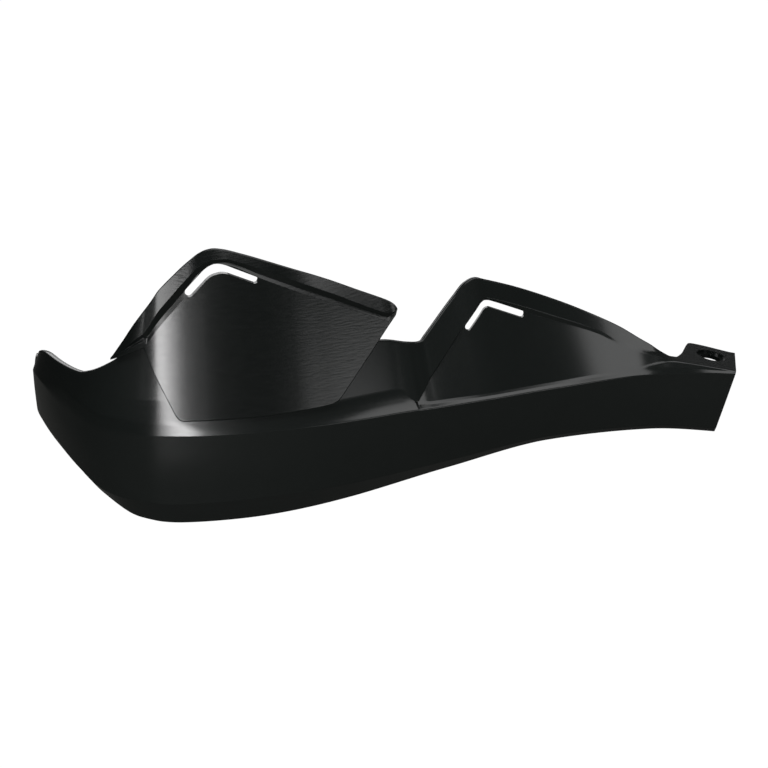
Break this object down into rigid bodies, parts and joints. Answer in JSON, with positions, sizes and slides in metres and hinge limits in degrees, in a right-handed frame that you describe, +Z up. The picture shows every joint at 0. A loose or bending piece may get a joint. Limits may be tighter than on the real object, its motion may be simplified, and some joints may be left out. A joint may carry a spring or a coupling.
{
  "type": "motorcycle hand guard",
  "caption": "Right-hand wrap-around motorcycle hand guard: ribbed black moulded shell from bar end to inner clamp tab, with a matt wind deflector screwed on in front.",
  "frame": {"origin": "centre of the bar-end bore, in the flat seat that the handlebar's end presses against", "axes": "+X inboard along the guard towards the middle of the motorcycle, -Y forwards into the wind, +Z up"},
  "size_m": [0.3175, 0.1091, 0.1235],
  "materials": {
    "black_moulding": "semi-gloss black polypropylene, smooth from the mould",
    "matt_moulding": "matt black polypropylene with a fine grain along its length",
    "screw_steel": "zinc-plated, slightly dull"
  },
  "bodies": {
    "root": {"guard_shell": "black_moulding", "deflector": "matt_moulding", "deflector_screw_1": "screw_steel", "deflector_screw_2": "screw_steel", "deflector_screw_3": "screw_steel"}
  },
  "joints": []
}
